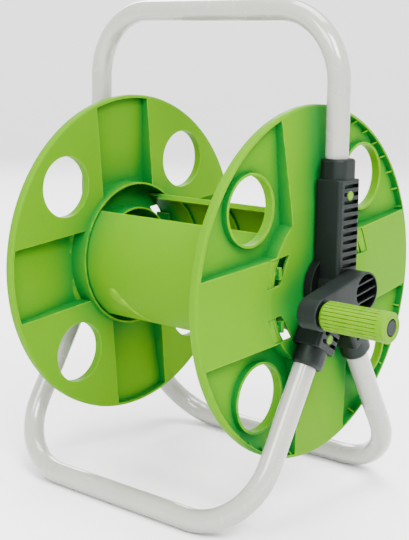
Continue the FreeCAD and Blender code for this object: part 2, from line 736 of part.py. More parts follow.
def place_flange(body, side):
    phase = Rotation(Vector(1, 0, 0), PHASE.value)
    if side > 0:
        plane = cell("right_flange_x")
        body.Placement = Placement(Vector(plane.value, 0, AXIS.value), phase)
    else:
        plane = -cell("left_flange_x")
        body.Placement = Placement(Vector(plane.value, 0, AXIS.value),
                                   phase.multiply(Rotation(Vector(0, 0, 1), 180)))
    body.setExpression("Placement.Base.x", plane.text)
    body.setExpression("Placement.Base.z", AXIS.text)


right_flange = flange("right_flange", 1)
left_flange = flange("left_flange", -1)


# ---- drum panels -----------------------------------------------------------------------

PANEL = cell("panel_radius")
PANEL_INSIDE = PANEL - cell("panel_wall")
LIP = PANEL - cell("panel_lip")
PANEL_GAP = cell("panel_gap")
PANEL_START = -cell("left_flange_x") - RISE + SKIN + PANEL_GAP
PANEL_END = cell("right_flange_x") + RISE - SKIN - PANEL_GAP
CLIP = cell("clip_wall")
CLIP_REACH = cell("clip_reach")
RIB_PLACES = (0.18, 0.42, 0.66, 0.9)
EDGE_ANGLE = 1.2
EDGE_END = 15.0
CLIP_ROOT = 14.0
WEB_HALF = 1.0


def at_x(place, turn=0.0):
    """Offset of a sketch that stands across the drum axis at X = place."""
    return Placement(Vector(0, 0, size(place).value), Rotation(Vector(0, 0, 1), turn))


def cross_sketch(body, name, place, turn=0.0):
    """A sketch across the drum axis whose place along X follows the sheet."""
    sketch = new_sketch(body, name, "YZ_Plane", at_x(place, turn))
    sketch.setExpression("AttachmentOffset.Base.z", size(place).text)
    return sketch


def arc_section(sketch, outer, inner, half_angle):
    """A ring sector about the sketch's origin, centred on its x axis."""
    outer, inner, half_angle = size(outer), size(inner), size(half_angle)
    turn = math.radians(half_angle.value)
    for radius in (outer, inner):
        ring = Part.Circle(Vector(0, 0, 0), Vector(0, 0, 1), radius.value)
        sketch.addGeometry(Part.ArcOfCircle(ring, -turn, turn), False)
    for end in (1, 2):
        sketch.addGeometry(Part.LineSegment(sketch.getPoint(0, end), sketch.getPoint(1, end)),
                           False)
    for line, end in ((2, 1), (3, 2)):
        sketch.addConstraint(Sketcher.Constraint("Coincident", 0, end, line, 1))
        sketch.addConstraint(Sketcher.Constraint("Coincident", 1, end, line, 2))
    for arc, radius in ((0, outer), (1, inner)):
        sketch.addConstraint(Sketcher.Constraint("Coincident", arc, 3, -1, 1))
        pin_point(sketch, arc, 1, radius * cosine(half_angle), -radius * sine(half_angle))
        high = radius * sine(half_angle)
        held = sketch.addConstraint(
            Sketcher.Constraint("DistanceY", -1, 1, arc, 2, high.value))
        sketch.setExpression("Constraints[%d]" % held, high.text)


def drum_panel(label, turn):
    """A curved drum panel with inward edges, cross ribs and two clips at each end."""
    body = new_body(label)
    half = cell("panel_span") * 0.5
    length = PANEL_END - PANEL_START
    shell = cross_sketch(body, "shell_section", PANEL_START)
    arc_section(shell, PANEL, PANEL_INSIDE, half)
    extrude(body, "shell", shell, length)
    for name, sign in (("upper", 1), ("lower", -1)):
        edge = cross_sketch(body, name + "_edge_section", PANEL_START + EDGE_END,
                            sign * (half.value - EDGE_ANGLE))
        arc_section(edge, PANEL_INSIDE + MERGE, LIP, EDGE_ANGLE)
        extrude(body, name + "_edge", edge, length - 2 * EDGE_END)
    for index, place in enumerate(RIB_PLACES):
        rib = cross_sketch(body, "rib_%d" % index, PANEL_START + length * place)
        arc_section(rib, PANEL_INSIDE + MERGE, LIP, half - EDGE_ANGLE)
        extrude(body, "rib_pad_%d" % index, rib, cell("rib_wall"))
    for side_name, sign in (("upper", 1), ("lower", -1)):
        clip(body, "left_" + side_name, PANEL_START - CLIP_REACH, PANEL_START, sign)
        clip(body, "right_" + side_name, PANEL_END - CLIP_ROOT, PANEL_END - CLIP_ROOT, sign)
    body.Placement = Placement(Vector(0, 0, AXIS.value), Rotation(Vector(1, 0, 0), turn))
    body.setExpression("Placement.Base.z", AXIS.text)
    return body


def clip(body, name, tongue_start, web_start, sign):
    """A snap clip at a panel's end that stands through a window of the hub face."""
    low = cell("clip_low")
    high = cell("clip_high")
    near = cell("clip_inner")
    far = near + CLIP
    tongue = cross_sketch(body, name + "_clip_section", tongue_start)
    polygon(tongue, [(near, low * sign), (far, low * sign), (far, high * sign),
                     (near, high * sign)])
    extrude(body, name + "_clip", tongue, CLIP_ROOT + CLIP_REACH)
    web = cross_sketch(body, name + "_web_section", web_start)
    middle = (low + high) * 0.5 * sign
    web_top = LIP - WEB_HALF
    polygon(web, [(near, middle - WEB_HALF), (web_top, middle - WEB_HALF),
                  (web_top, middle + WEB_HALF), (near, middle + WEB_HALF)])
    extrude(body, name + "_web", web, CLIP_ROOT)


REAR_TURN = PHASE.value
front_panel = drum_panel("front_drum_panel", REAR_TURN + 180.0)
rear_panel = drum_panel("rear_drum_panel", REAR_TURN)


# ---- bearings --------------------------------------------------------------------------

THRUST = cell("thrust_radius")
FIXED = cell("fixed_gap")
MOVING = cell("moving_gap")
RIGHT_FACE = cell("right_flange_x") + RISE
LEFT_FACE = -cell("left_flange_x") - RISE
RIGHT_SLEEVE = cell("right_flange_x") - cell("sleeve_lip")
LEFT_SLEEVE = -cell("left_flange_x") + cell("sleeve_lip")
BUSH_BORE = JOURNAL + BORE_GAP
BUSH_OUTSIDE = BUSH - FIXED


def ring_outline(start, end, inside, outside):
    return [(start, inside), (end, inside), (end, outside), (start, outside)]


right_bush = turned("right_bearing_bush", ring_outline(INNER, OUTER, BUSH_BORE, BUSH_OUTSIDE))
left_bush = turned("left_bearing_bush",
                   ring_outline(LEFT_FACE, LEFT_SLEEVE, BUSH_BORE, BUSH_OUTSIDE))
right_washer = turned("right_thrust_washer",
                      ring_outline(RIGHT_FACE + FIXED, INNER - MOVING, JOURNAL + MOVING, THRUST))
left_spacer = turned("left_spacer_ring",
                     ring_outline(FIXED - INNER, LEFT_FACE - MOVING, JOURNAL + FIXED, THRUST))


# ---- crank and grip --------------------------------------------------------------------

CRANK_TURN = 180.0 + cell("crank_angle").value
POCKET_FLOOR = CRANK_OUT - cell("hub_pocket")
CRANK_HUB = cell("crank_hub_radius")
CRANK_END = cell("crank_end_radius")
CRANK_SCREW = cell("crank_screw_radius")
SCREW_LENGTH = 24.0
PIN = cell("pin_radius")
PIN_DEPTH = cell("pin_depth")
HUB_RIBS = (-8.0, -0.3, 7.4)
HUB_RIB_HALF = 0.7
HUB_RIB_DROP = 0.9


def tapered_outline(sketch, big, small, reach):
    """Two arcs, about the origin and about (reach, 0), joined by their outer tangents."""
    lean = math.asin((big.value - small.value) / reach.value)
    upper = math.pi / 2 - lean
    big_ring = Part.Circle(Vector(0, 0, 0), Vector(0, 0, 1), big.value)
    small_ring = Part.Circle(Vector(reach.value, 0, 0), Vector(0, 0, 1), small.value)
    sketch.addGeometry(Part.ArcOfCircle(big_ring, upper, 2 * math.pi - upper), False)
    sketch.addGeometry(Part.ArcOfCircle(small_ring, -upper, upper), False)
    for big_end, small_end in ((1, 2), (2, 1)):
        sketch.addGeometry(Part.LineSegment(sketch.getPoint(0, big_end),
                                            sketch.getPoint(1, small_end)), False)
    for line, big_end, small_end in ((2, 1, 2), (3, 2, 1)):
        sketch.addConstraint(Sketcher.Constraint("Tangent", 0, big_end, line, 1))
        sketch.addConstraint(Sketcher.Constraint("Tangent", 1, small_end, line, 2))
    sketch.addConstraint(Sketcher.Constraint("Coincident", 0, 3, -1, 1))
    pin_point(sketch, 1, 3, reach, size(0))
    for arc, radius in ((0, big), (1, small)):
        held = sketch.addConstraint(Sketcher.Constraint("Radius", arc, radius.value))
        sketch.setExpression("Constraints[%d]" % held, radius.text)


def crank_arm():
    """Crank: open round hub, tapering arm, journal and drive hexagon."""
    body = new_body("crank_arm")
    outline = cross_sketch(body, "outline", CRANK_IN, CRANK_TURN)
    tapered_outline(outline, CRANK_HUB, CRANK_END, REACH)
    plate = extrude(body, "plate", outline, CRANK_OUT - CRANK_IN)
    along = Vector(1, 0, 0)
    rounded = round_edges(body, "outer_round", plate, along, CRANK_OUT.value, cell("crank_round"))
    round_edges(body, "inner_round", rounded, along, CRANK_IN.value, cell("crank_round"))
    space = cross_sketch(body, "hub_space", CRANK_OUT, CRANK_TURN)
    circle(space, 0, 0, CRANK_HUB - cell("hub_wall"))
    extrude(body, "hub_hollow", space, cell("hub_pocket"), "Pocket")
    for index, height in enumerate(HUB_RIBS):
        rib = cross_sketch(body, "hub_rib_%d" % index, POCKET_FLOOR - MERGE, CRANK_TURN)
        half = math.sqrt((CRANK_HUB.value - MERGE) ** 2 - height ** 2)
        polygon(rib, [(-half, height - HUB_RIB_HALF), (half, height - HUB_RIB_HALF),
                      (half, height + HUB_RIB_HALF), (-half, height + HUB_RIB_HALF)])
        extrude(body, "hub_rib_pad_%d" % index, rib, cell("hub_pocket") - HUB_RIB_DROP)
    shoulder = RIGHT_FACE + MOVING
    revolve(body, "journal", [[(shoulder, 0), (shoulder, JOURNAL), (CRANK_IN + MERGE, JOURNAL),
                               (CRANK_IN + MERGE, 0)]])
    drive = cross_sketch(body, "drive_section", RIGHT_SLEEVE + MOVING, PHASE.value)
    hexagon(drive, cell("hex_flats") * 0.5 - BORE_GAP)
    extrude(body, "drive", drive, shoulder - RIGHT_SLEEVE)
    bore = cross_sketch(body, "screw_hole_section", RIGHT_SLEEVE)
    circle(bore, 0, 0, CRANK_SCREW + BORE_GAP)
    extrude(body, "screw_hole", bore, SCREW_LENGTH + MOVING, "Pocket", reverse=True)
    pin_hole = cross_sketch(body, "pin_hole_section", CRANK_OUT, CRANK_TURN)
    circle(pin_hole, REACH, 0, PIN + FIXED)
    extrude(body, "pin_hole", pin_hole, PIN_DEPTH + MOVING, "Pocket")
    return body


crank = crank_arm()

WASHER_WALL = 1.6
WASHER_RADIUS = 11.0
HEAD_RADIUS = 4.6
HEAD_HEIGHT = 3.9
washer_face = RIGHT_SLEEVE - FIXED
head_face = washer_face - WASHER_WALL
head_top = head_face - HEAD_HEIGHT
crank_washer = turned("crank_washer", ring_outline(
    head_face, washer_face, CRANK_SCREW + BORE_GAP, size(WASHER_RADIUS)))
crank_screw = turned("crank_screw", [
    (head_top, 0), (head_top, HEAD_RADIUS), (head_face - FIXED, HEAD_RADIUS),
    (head_face - FIXED, CRANK_SCREW), (RIGHT_SLEEVE + SCREW_LENGTH, CRANK_SCREW),
    (RIGHT_SLEEVE + SCREW_LENGTH, 0)])

GRIP = cell("grip_radius")
GRIP_START = CRANK_OUT + cell("grip_gap")
GRIP_END = GRIP_START + cell("grip_length")
GRIP_RECESS = GRIP_END - cell("head_recess")
PIN_HEAD = cell("pin_head_radius")
HEAD_GAP = 0.4
GRIP_GROOVES = 24
GRIP_CHAMFER = 1.2
GRIP_COLLAR = 8.0
GROOVE_DEPTH = 0.55
NOSE = ((0.0, 4.0), (1.2, 1.6), (4.0, 0.0))


def to_grip_axis(body):
    """Move a body from the drum axis to the grip's axis."""
    turn = math.radians(CRANK_TURN)
    body.Placement.Base = Vector(0, REACH.value * math.cos(turn),
                                 AXIS.value + REACH.value * math.sin(turn))
    angle = "(%s + 180) * 1 deg" % cell("crank_angle").text
    body.setExpression("Placement.Base.y", "%s * cos(%s)" % (REACH.text, angle))
    body.setExpression("Placement.Base.z", "%s + %s * sin(%s)" % (AXIS.text, REACH.text, angle))


def grip_sleeve():
    """Round grip with fine lengthwise grooves and a recess for the pin's head."""
    body = new_body("grip_sleeve")
    bore = PIN + BORE_GAP
    outline = [(GRIP_START, bore)]
    for along, inset in NOSE:
        outline.append((GRIP_START + along, GRIP - inset))
    outline += [(GRIP_END - GRIP_CHAMFER, GRIP), (GRIP_END, GRIP - GRIP_CHAMFER),
                (GRIP_END, PIN_HEAD + HEAD_GAP), (GRIP_RECESS, PIN_HEAD + HEAD_GAP),
                (GRIP_RECESS, bore)]
    revolve(body, "turning", [outline])
    groove = new_sketch(body, "groove_profile")
    floor = GRIP - GROOVE_DEPTH
    above = GRIP + GROOVE_DEPTH
    polygon(groove, [(GRIP_START - 1, floor), (GRIP_END - GRIP_COLLAR, floor),
                     (GRIP_END - GRIP_COLLAR + GRIP_CHAMFER, above), (GRIP_START - 1, above)])
    cut = extrude(body, "groove", groove, cell("grip_groove"), "Pocket", midplane=True)
    polar(body, cut, GRIP_GROOVES, "grooves")
    to_grip_axis(body)
    return body


grip = grip_sleeve()
head_under = GRIP_RECESS + MOVING
grip_pin = turned("grip_pin", [
    (CRANK_OUT - PIN_DEPTH, 0), (CRANK_OUT - PIN_DEPTH, PIN), (head_under, PIN),
    (head_under, PIN_HEAD), (GRIP_END - GRIP_CHAMFER, PIN_HEAD),
    (GRIP_END - FIXED, PIN_HEAD - GRIP_CHAMFER), (GRIP_END - FIXED, 0)])
to_grip_axis(grip_pin)


# ---- water way -------------------------------------------------------------------------

WATER = cell("water_bore")
NIPPLE = cell("nipple_radius")
INLET_TIP = -OUTER - cell("inlet_length")
SWIVEL = cell("swivel_radius")
SWIVEL_END = LEFT_SLEEVE + cell("swivel_length")
SWIVEL_GROOVE = cell("seal_groove")
SOCKET = cell("elbow_socket")
ELBOW = cell("elbow_radius")
SEAL_GROOVES = (9.0, 16.0)
GROOVE_WIDTH = 3.6
SEAL_HALF = 1.45
NIPPLE_NOSE = 7.0
NIPPLE_GROOVE = 3.0
NIPPLE_COLLAR = 8.0
NIPPLE_NECK = 4.0
NOSE_INSET = 2.0
GROOVE_INSET = 3.4
NECK_INSET = 2.4
INLET_FLANGE = 3.0


def nipple_outline(tip):
    """Outline of a plug-on hose spigot, from its tip: nose, seal groove, collar, neck."""
    groove = tip + NIPPLE_NOSE
    collar = groove + NIPPLE_GROOVE
    neck = collar + NIPPLE_COLLAR
    foot = neck + NIPPLE_NECK
    return [(tip, WATER), (tip, NIPPLE - NOSE_INSET), (groove, NIPPLE - NOSE_INSET),
            (groove, NIPPLE - GROOVE_INSET), (collar, NIPPLE - GROOVE_INSET), (collar, NIPPLE),
            (neck, NIPPLE), (neck, NIPPLE - NECK_INSET), (foot, NIPPLE - NECK_INSET)], foot


def inlet_spindle():
    """Hollow spindle: hose spigot outside, journal in the drum, seal grooves inside."""
    outline, foot = nipple_outline(INLET_TIP)
    shoulder = -OUTER - FIXED
    journal_end = LEFT_SLEEVE - 1
    outline += [(foot, BUSH), (foot + INLET_FLANGE, BUSH + INLET_FLANGE),
                (shoulder, BUSH + INLET_FLANGE), (shoulder, BUSH_OUTSIDE), (-INNER, BUSH_OUTSIDE),
                (-INNER, JOURNAL), (journal_end, JOURNAL), (journal_end, SWIVEL)]
    for start in SEAL_GROOVES:
        near = LEFT_SLEEVE + start
        far = near + GROOVE_WIDTH
        outline += [(near, SWIVEL), (near, SWIVEL_GROOVE), (far, SWIVEL_GROOVE), (far, SWIVEL)]
    outline += [(SWIVEL_END, SWIVEL), (SWIVEL_END, WATER)]
    return turned("inlet_spindle", outline)


def o_ring(name, middle, radius, half):
    """A rubber ring about the drum axis, its section held in a groove."""
    body = new_body(name)
    sketch = new_sketch(body, "section")
    circle(sketch, middle, radius, half)
    ring = body.newObject("PartDesign::Revolution", name + "_ring")
    ring.Profile = sketch
    ring.ReferenceAxis = (sketch, ["H_Axis"])
    ring.Angle = 360
    doc.recompute()
    return body


inlet = inlet_spindle()
NIPPLE_SEAL_HALF = 1.4
nipple_seal = o_ring("inlet_seal", INLET_TIP + NIPPLE_NOSE + NIPPLE_GROOVE * 0.5,
                     NIPPLE - GROOVE_INSET + NIPPLE_SEAL_HALF + FIXED, NIPPLE_SEAL_HALF)
seal_radius = SOCKET - SEAL_HALF - FIXED
swivel_seals = solid_group("swivel_seals", [
    o_ring("swivel_seal_%d" % index, LEFT_SLEEVE + start + GROOVE_WIDTH * 0.5, seal_radius,
           SEAL_HALF)
    for index, start in enumerate(SEAL_GROOVES, start=1)])

ELBOW_START = LEFT_SLEEVE + FIXED
ELBOW_FLANGE = 4.0
BRANCH_AT = 10.0
BRANCH_RADIUS = 9.0
BRANCH_ROOT = 10.0
BRANCH_TIP = 24.0
ELBOW_CHAMBER = 16.0
ELBOW_CLOSED = 19.0
OUTLET_X = SWIVEL_END + BRANCH_AT
PIPE_PHASE = Rotation(Vector(1, 0, 0), PHASE.value)


def outlet_elbow():
    """Elbow that turns with the drum, from the seals to the hose connector inside it."""
    body = new_body("outlet_elbow")
    sleeve = cell("sleeve_radius")
    chamber = SWIVEL_END + ELBOW_CHAMBER
    closed = SWIVEL_END + ELBOW_CLOSED
    mouth = SWIVEL_END + MOVING
    revolve(body, "housing", [[
        (ELBOW_START, SOCKET), (ELBOW_START, sleeve), (ELBOW_START + ELBOW_FLANGE, sleeve),
        (ELBOW_START + ELBOW_FLANGE, ELBOW), (closed, ELBOW), (closed, 0), (chamber, 0),
        (chamber, WATER), (mouth, WATER), (mouth, SOCKET)]])
    branch = new_sketch(body, "branch_section", "XY_Plane",
                        Placement(Vector(0, 0, -BRANCH_ROOT), Rotation()))
    circle(branch, OUTLET_X, 0, BRANCH_RADIUS)
    extrude(body, "branch", branch, BRANCH_TIP - BRANCH_ROOT, reverse=True)
    way = new_sketch(body, "way_section", "XY_Plane")
    circle(way, OUTLET_X, 0, WATER)
    extrude(body, "way", way, BRANCH_TIP + 1, "Pocket")
    body.Placement = Placement(Vector(0, 0, AXIS.value), PIPE_PHASE)
    body.setExpression("Placement.Base.z", AXIS.text)
    return body


def outlet_nipple():
    """Hose spigot on the elbow, pointing out through the gap between the panels."""
    outline, foot = nipple_outline(size(0))
    outline += [(foot, NIPPLE + INLET_FLANGE), (foot + 5, NIPPLE + INLET_FLANGE),
                (foot + 5, WATER)]
    body = doc.addObject("PartDesign::Body", "outlet_nipple")
    body.Label = "outlet_nipple"
    revolve(body, "turning", [outline])
    reach = BRANCH_TIP + foot.value + 5 + FIXED.value
    tip = PIPE_PHASE.multVec(Vector(OUTLET_X.value, 0, -reach))
    upward = Rotation(Vector(0, 1, 0), -90)
    body.Placement = Placement(tip + Vector(0, 0, AXIS.value), PIPE_PHASE.multiply(upward))
    return body


elbow = outlet_elbow()
outlet = outlet_nipple()


# ---- checks and files ------------------------------------------------------------------

PARTS = [handle_tube, front_leg, rear_leg, right_bracket, left_bracket, frame_screws, screw_caps,
         right_flange, left_flange, front_panel, rear_panel, right_bush, left_bush,
         right_washer, left_spacer, crank, crank_screw, crank_washer, grip, grip_pin,
         inlet, nipple_seal, swivel_seals, elbow, outlet]

doc.recompute()
for item in doc.Objects:
    if "Invalid" in item.State or "Error" in item.State:
        raise RuntimeError("%s did not build: %s" % (item.Name, item.State))
for item in PARTS:
    if item.Shape.isNull() or not item.Shape.isValid():
        raise RuntimeError("%s has no valid shape" % item.Label)

os.makedirs("parts", exist_ok=True)
for item in PARTS:
    item.Shape.exportStep("parts/%s.step" % item.Label)
    box = item.Shape.BoundBox
    print("%-20s solids %d volume %.0f  X %.1f..%.1f" % (
        item.Label, len(item.Shape.Solids), item.Shape.Volume, box.XMin, box.XMax))
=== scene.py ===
import json
import math

import bpy
import bmesh
from mathutils import Matrix, Vector


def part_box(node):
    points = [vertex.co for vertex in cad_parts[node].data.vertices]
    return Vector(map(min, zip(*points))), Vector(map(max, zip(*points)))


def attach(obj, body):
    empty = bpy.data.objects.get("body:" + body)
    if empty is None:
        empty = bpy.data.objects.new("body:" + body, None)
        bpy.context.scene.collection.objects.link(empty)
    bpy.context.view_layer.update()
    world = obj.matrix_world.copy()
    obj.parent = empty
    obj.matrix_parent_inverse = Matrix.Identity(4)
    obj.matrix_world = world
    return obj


# Looks of a garden hose reel. Everything is in metres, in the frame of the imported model:
# +X along the drum's axis towards the crank, -Y the front, +Z up, floor at z = 0.

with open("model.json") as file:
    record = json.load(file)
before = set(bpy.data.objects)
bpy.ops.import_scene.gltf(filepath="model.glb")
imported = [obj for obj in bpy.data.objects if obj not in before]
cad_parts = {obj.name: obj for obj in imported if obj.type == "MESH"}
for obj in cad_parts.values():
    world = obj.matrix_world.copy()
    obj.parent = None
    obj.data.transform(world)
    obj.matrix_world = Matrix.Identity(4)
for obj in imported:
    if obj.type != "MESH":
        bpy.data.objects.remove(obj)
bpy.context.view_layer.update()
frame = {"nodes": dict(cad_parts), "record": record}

HANDLE_TOP_ABOVE_AXIS = 0.244
SHARP_ANGLE = math.radians(32)

# Socket numbers of Blender's colour mix node.
MIX_FACTOR = 0
MIX_FIRST = 6
MIX_SECOND = 7
MIX_RESULT = 2


def axis_height():
    """Height of the drum's axis above the floor."""
    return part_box("handle_tube")[1].z - HANDLE_TOP_ABOVE_AXIS


# ---- node helpers ----------------------------------------------------------------------

class Nodes:
    """Builds one material's node tree."""

    def __init__(self, name):
        self.material = bpy.data.materials.new(name)
        self.material.use_nodes = True
        self.tree = self.material.node_tree
        self.tree.nodes.clear()
        self.output = self.add("ShaderNodeOutputMaterial")
        self.shader = self.add("ShaderNodeBsdfPrincipled")
        self.link(self.shader, "BSDF", self.output, "Surface")
        self.coordinates = self.add("ShaderNodeTexCoord")

    def add(self, kind, **settings):
        """New node with its settings."""
        node = self.tree.nodes.new(kind)
        for key, value in settings.items():
            setattr(node, key, value)
        return node

    def link(self, source, output, target, entry):
        """Wire from an output to an entry."""
        self.tree.links.new(source.outputs[output], target.inputs[entry])

    def noise(self, scale, detail=2.0, roughness=0.5, stretch=None):
        """Noise with scale in cycles per metre; stretch multiplies that along each axis."""
        node = self.add("ShaderNodeTexNoise")
        node.inputs["Scale"].default_value = scale
        node.inputs["Detail"].default_value = detail
        node.inputs["Roughness"].default_value = roughness
        if stretch is None:
            self.link(self.coordinates, "Object", node, "Vector")
        else:
            mapping = self.add("ShaderNodeMapping")
            mapping.inputs["Scale"].default_value = stretch
            self.link(self.coordinates, "Object", mapping, "Vector")
            self.link(mapping, "Vector", node, "Vector")
        return node

    def spread(self, source, output, low, high, start=0.3, end=0.7):
        """Maps a texture value to a range."""
        node = self.add("ShaderNodeMapRange")
        node.inputs["From Min"].default_value = start
        node.inputs["From Max"].default_value = end
        node.inputs["To Min"].default_value = low
        node.inputs["To Max"].default_value = high
        self.link(source, output, node, "Value")
        return node

    def mix(self, factor, factor_output, first, second):
        """Colour mix. first and second are colours or (node, output) pairs."""
        node = self.add("ShaderNodeMix", data_type="RGBA")
        self.link(factor, factor_output, node, MIX_FACTOR)
        for entry, value in ((MIX_FIRST, first), (MIX_SECOND, second)):
            if isinstance(value, tuple) and isinstance(value[0], bpy.types.Node):
                self.link(value[0], value[1], node, entry)
            else:
                node.inputs[entry].default_value = (*value, 1.0)
        return node

    def bump(self, source, output, distance, strength, below=None):
        """Relief with the distance in metres, laid over the normals of the node below."""
        node = self.add("ShaderNodeBump")
        node.inputs["Distance"].default_value = distance
        node.inputs["Strength"].default_value = strength
        self.link(source, output, node, "Height")
        if below is not None:
            self.link(below, "Normal", node, "Normal")
        return node

    def rounded(self, radius):
        """Normals that turn softly over sharp edges."""
        node = self.add("ShaderNodeBevel", samples=6)
        node.inputs["Radius"].default_value = radius
        return node

    def closeness(self, distance, inside, low, high):
        """1 in corners and gaps, or, if inside, 1 at sharp outer edges."""
        node = self.add("ShaderNodeAmbientOcclusion", inside=inside, samples=8)
        node.inputs["Distance"].default_value = distance
        return self.spread(node, "AO", 1.0, 0.0, low, high)

    def product(self, first, second):
        """One range times another."""
        node = self.add("ShaderNodeMath", operation="MULTIPLY")
        self.link(first, "Result", node, 0)
        self.link(second, "Result", node, 1)
        return node


def moulded(name, base, dark, light, shade_colour, roughness, grain, tint, sheen, glow=0.0):
    """Moulded plastic: slow colour drift, fine grain, painted highlights on sharp edges and
    painted shade, a deeper colour, in gaps.
    """
    nodes = Nodes(name)
    drift = nodes.noise(scale=9.0, detail=3.0)
    drift_range = nodes.spread(drift, "Fac", low=0.0, high=1.0)
    body = nodes.mix(drift_range, "Result", base, dark)
    speck = nodes.noise(scale=900.0, detail=2.0)
    speck_range = nodes.spread(speck, "Fac", low=0.0, high=0.16, start=0.5, end=0.8)
    flecked = nodes.mix(speck_range, "Result", (body, MIX_RESULT), light)
    # Painted shade: corners, gaps and recesses are mixed towards a deeper, shaded colour.
    shade_mask = nodes.closeness(distance=0.040, inside=False, low=0.48, high=0.98)
    shaded = nodes.mix(shade_mask, "Result", (flecked, MIX_RESULT), shade_colour)
    # Painted highlight: sharp outer edges are lightened towards the light colour, broken up by
    # noise.
    edge = nodes.closeness(distance=0.0012, inside=True, low=0.45, high=0.95)
    highlight_break = nodes.noise(scale=120.0, detail=4.0)
    highlight_break_range = nodes.spread(highlight_break, "Fac", low=0.1, high=0.9, start=0.35, end=0.6)
    edge_highlight = nodes.product(edge, highlight_break_range)
    colour = nodes.mix(edge_highlight, "Value", (shaded, MIX_RESULT), light)
    nodes.link(colour, MIX_RESULT, nodes.shader, "Base Color")
    gloss = nodes.noise(scale=60.0, detail=4.0, roughness=0.6)
    gloss_range = nodes.spread(gloss, "Fac", low=roughness - 0.06, high=roughness + 0.08)
    nodes.link(gloss_range, "Result", nodes.shader, "Roughness")
    soft = nodes.rounded(radius=0.0005)
    sink = nodes.noise(scale=22.0, detail=1.0)
    waves = nodes.bump(sink, "Fac", distance=0.0010, strength=0.3, below=soft)
    fine = nodes.noise(scale=1500.0, detail=2.0)
    grained = nodes.bump(fine, "Fac", distance=0.00004, strength=grain, below=waves)
    nodes.link(grained, "Normal", nodes.shader, "Normal")
    nodes.shader.inputs["IOR"].default_value = 1.46
    nodes.shader.inputs["Specular IOR Level"].default_value = sheen
    nodes.shader.inputs["Specular Tint"].default_value = (*tint, 1.0)
    if glow > 0:
        nodes.shader.inputs["Subsurface Weight"].default_value = glow
        nodes.shader.inputs["Subsurface Radius"].default_value = (0.0016, 0.0045, 0.0004)
        nodes.shader.inputs["Subsurface Scale"].default_value = 1.0
    return nodes.material


def painted(name, base, dark, shade_colour, roughness):
    """Powder-coated tube: orange-peel skin, faint dust, slow drift in tone and painted shade in
    corners and gaps.
    """
    nodes = Nodes(name)
    drift = nodes.noise(scale=14.0, detail=4.0)
    drift_range = nodes.spread(drift, "Fac", low=0.0, high=1.0)
    colour = nodes.mix(drift_range, "Result", base, dark)
    speck = nodes.noise(scale=420.0, detail=3.0)
    speck_range = nodes.spread(speck, "Fac", low=0.0, high=0.5, start=0.6, end=0.8)
    dusted = nodes.mix(speck_range, "Result", (colour, MIX_RESULT), dark)
    # Painted shade: corners and gaps are mixed towards a deeper, shaded colour.
    shade_mask = nodes.closeness(distance=0.012, inside=False, low=0.3, high=0.9)
    shaded = nodes.mix(shade_mask, "Result", (dusted, MIX_RESULT), shade_colour)
    nodes.link(shaded, MIX_RESULT, nodes.shader, "Base Color")
    gloss = nodes.noise(scale=90.0, detail=4.0)
    gloss_range = nodes.spread(gloss, "Fac", low=roughness - 0.05, high=roughness + 0.07)
    nodes.link(gloss_range, "Result", nodes.shader, "Roughness")
    peel = nodes.noise(scale=620.0, detail=1.0)
    skin = nodes.bump(peel, "Fac", distance=0.00006, strength=0.5)
    nodes.link(skin, "Normal", nodes.shader, "Normal")
    nodes.shader.inputs["Coat Weight"].default_value = 0.9
    nodes.shader.inputs["Coat Roughness"].default_value = 0.08
    return nodes.material


def metal(name, base, roughness):
    """Zinc-plated steel: drawn streaks and dull patches."""
    nodes = Nodes(name)
    streak = nodes.noise(scale=300.0, detail=3.0, roughness=0.6, stretch=(0.15, 3.0, 3.0))
    streak_range = nodes.spread(streak, "Fac", low=0.0, high=1.0)
    dull = tuple(value * 0.7 for value in base)
    colour = nodes.mix(streak_range, "Result", base, dull)
    nodes.link(colour, MIX_RESULT, nodes.shader, "Base Color")
    nodes.shader.inputs["Metallic"].default_value = 1.0
    gloss_range = nodes.spread(streak, "Fac", low=roughness - 0.08, high=roughness + 0.12)
    nodes.link(gloss_range, "Result", nodes.shader, "Roughness")
    skin = nodes.bump(streak, "Fac", distance=0.00004, strength=0.6)
    nodes.link(skin, "Normal", nodes.shader, "Normal")
    return nodes.material


GREEN_SHEEN = (0.45, 1.0, 0.06)
DARK_SHEEN = (0.80, 1.0, 0.86)
PLAIN_SHEEN = (1.0, 1.0, 1.0)
